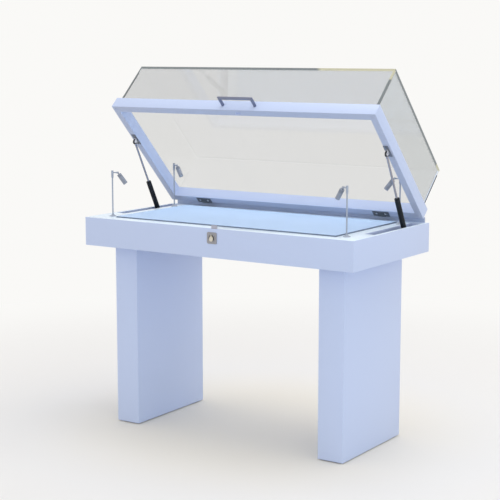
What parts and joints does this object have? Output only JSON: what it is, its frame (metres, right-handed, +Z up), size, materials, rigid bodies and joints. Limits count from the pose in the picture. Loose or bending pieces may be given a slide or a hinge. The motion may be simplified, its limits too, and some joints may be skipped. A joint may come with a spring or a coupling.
{
  "type": "pedestal display case",
  "caption": "Display case on panel legs: shallow tray with a deck, hinged glass hood on gas struts, pull handle, hook lock and swivelling corner lamps.",
  "frame": {"origin": "on the floor, below the middle of the whole form with the hood open", "axes": "+Z up, front of the case towards -Y, +X to the right seen from the front"},
  "size_m": [1.2, 0.7226, 1.4105],
  "materials": {
    "lacquer": "satin lacquer, pale blue-white",
    "raw_board": "raw board",
    "zinc_screw": "bright zinc",
    "glide_plastic": "moulded",
    "hinge_steel": "satin",
    "strap_steel": "dark satin",
    "bracket_steel": "bright",
    "lock_steel": "satin",
    "lock_nickel": "satin nickel",
    "plug_nickel": "nickel plated",
    "lamp_metal": "satin",
    "driver_plastic": "moulded",
    "gland_plastic": "moulded",
    "channel_rubber": "soft",
    "buffer_rubber": "soft",
    "pane_glass": "clear polished",
    "handle_steel": "satin",
    "strut_rod_steel": "ground",
    "strut_tube_paint": "satin black"
  },
  "bodies": {
    "table": {"front_apron": "lacquer", "rear_apron": "lacquer", "left_apron": "lacquer", "right_apron": "lacquer", "front_rim": "lacquer", "rear_rim": "lacquer", "left_rim": "lacquer", "right_rim": "lacquer", "tray_floor": "lacquer", "deck_ledges": "lacquer", "display_deck": "lacquer", "leg_side_boards": "lacquer", "leg_end_boards": "lacquer", "leg_blocks": "raw_board", "leg_bolts": "zinc_screw", "glides": "glide_plastic", "hinge_case_leaves": "hinge_steel", "hinge_pins": "hinge_steel", "case_screws": "zinc_screw", "strut_lower_brackets": "bracket_steel", "lock_case": "lock_steel", "escutcheon": "lock_nickel", "strike_plate": "lock_steel", "lamp_feet": "lamp_metal", "lamp_posts": "lamp_metal", "lamp_nuts": "zinc_screw", "led_driver": "driver_plastic", "cable_gland": "gland_plastic", "rear_upstand": "lacquer"},
    "hood": {"frame_front_rail": "lacquer", "frame_rear_rail": "lacquer", "frame_left_rail": "lacquer", "frame_right_rail": "lacquer", "glazing_channel": "channel_rubber", "glass_top": "pane_glass", "glass_front": "pane_glass", "glass_rear": "pane_glass", "glass_left": "pane_glass", "glass_right": "pane_glass", "frame_buffers": "buffer_rubber", "pull_handle": "handle_steel", "handle_screws": "zinc_screw", "hinge_lid_leaves": "strap_steel", "lid_screws": "zinc_screw", "strut_upper_brackets": "bracket_steel", "strut_pins": "bracket_steel"},
    "left_rod": {"left_strut_rod": "strut_rod_steel"},
    "left_tube": {"left_strut_tube": "strut_tube_paint"},
    "right_rod": {"right_strut_rod": "strut_rod_steel"},
    "right_tube": {"right_strut_tube": "strut_tube_paint"},
    "lock_cylinder": {"lock_plug": "plug_nickel"},
    "hook": {"lock_hook": "lock_steel"},
    "arm_front_left": {"lamp_arm_front_left": "lamp_metal"},
    "head_front_left": {"lamp_head_front_left": "lamp_metal"},
    "arm_front_right": {"lamp_arm_front_right": "lamp_metal"},
    "head_front_right": {"lamp_head_front_right": "lamp_metal"},
    "arm_rear_left": {"lamp_arm_rear_left": "lamp_metal"},
    "head_rear_left": {"lamp_head_rear_left": "lamp_metal"},
    "arm_rear_right": {"lamp_arm_rear_right": "lamp_metal"},
    "head_rear_right": {"lamp_head_rear_right": "lamp_metal"}
  },
  "joints": [
    {"name": "hood_hinge", "type": "hinge", "parent": "table", "child": "hood", "pos_m": [0, 0.22819, 0.867], "axis": [1, 0, 0], "range_deg": [0, 46]},
    {"name": "left_rod_pivot", "type": "hinge", "parent": "hood", "child": "left_rod", "pos_m": [-0.573, -0.07205, 1.1088], "axis": [1, 0, 0], "range_deg": [0, 2.04]},
    {"name": "left_strut_slide", "type": "slide", "parent": "left_rod", "child": "left_tube", "axis": [0, -0.4597, 0.8881], "range_m": [0, 0.12793]},
    {"name": "right_rod_pivot", "type": "hinge", "parent": "hood", "child": "right_rod", "pos_m": [0.573, -0.07205, 1.1088], "axis": [1, 0, 0], "range_deg": [0, 2.04]},
    {"name": "right_strut_slide", "type": "slide", "parent": "right_rod", "child": "right_tube", "axis": [0, -0.4597, 0.8881], "range_m": [0, 0.12793]},
    {"name": "lock_turn", "type": "hinge", "parent": "table", "child": "lock_cylinder", "pos_m": [0.007, -0.36131, 0.794], "axis": [0, -1, 0], "range_deg": [0, 90]},
    {"name": "hook_swing", "type": "hinge", "parent": "table", "child": "hook", "pos_m": [-0.019, -0.32881, 0.794], "axis": [0, -1, 0], "range_deg": [0, 45]},
    {"name": "lamp_swivel_front_left", "type": "hinge", "parent": "table", "child": "arm_front_left", "pos_m": [-0.527, -0.27281, 1.002], "axis": [0, 0, 1], "range_deg": [-30, 60]},
    {"name": "lamp_tilt_front_left", "type": "hinge", "parent": "arm_front_left", "child": "head_front_left", "pos_m": [-0.5066, -0.26457, 1.002], "axis": [-0.3746, 0.9272, 0], "range_deg": [-45, 45]},
    {"name": "lamp_swivel_front_right", "type": "hinge", "parent": "table", "child": "arm_front_right", "pos_m": [0.527, -0.27281, 1.002], "axis": [0, 0, -1], "range_deg": [-30, 60]},
    {"name": "lamp_tilt_front_right", "type": "hinge", "parent": "arm_front_right", "child": "head_front_right", "pos_m": [0.5066, -0.26457, 1.002], "axis": [-0.3746, -0.9272, 0], "range_deg": [-45, 45]},
    {"name": "lamp_swivel_rear_left", "type": "hinge", "parent": "table", "child": "arm_rear_left", "pos_m": [-0.527, 0.12919, 1.002], "axis": [0, 0, -1], "range_deg": [-30, 60]},
    {"name": "lamp_tilt_rear_left", "type": "hinge", "parent": "arm_rear_left", "child": "head_rear_left", "pos_m": [-0.50633, 0.12166, 1.002], "axis": [0.342, 0.9397, 0], "range_deg": [-45, 45]},
    {"name": "lamp_swivel_rear_right", "type": "hinge", "parent": "table", "child": "arm_rear_right", "pos_m": [0.527, 0.12919, 1.002], "axis": [0, 0, 1], "range_deg": [-30, 60]},
    {"name": "lamp_tilt_rear_right", "type": "hinge", "parent": "arm_rear_right", "child": "head_rear_right", "pos_m": [0.50633, 0.12166, 1.002], "axis": [0.342, -0.9397, 0], "range_deg": [-45, 45]}
  ],
  "couplings": [
    {"joint": "left_rod_pivot", "follows": "hood_hinge", "ratio": 0.043948},
    {"joint": "left_strut_slide", "follows": "hood_hinge", "m_per_rad": 0.15902},
    {"joint": "right_rod_pivot", "follows": "hood_hinge", "ratio": 0.043948},
    {"joint": "right_strut_slide", "follows": "hood_hinge", "m_per_rad": 0.15902},
    {"joint": "hook_swing", "follows": "lock_turn", "ratio": 0.5}
  ]
}
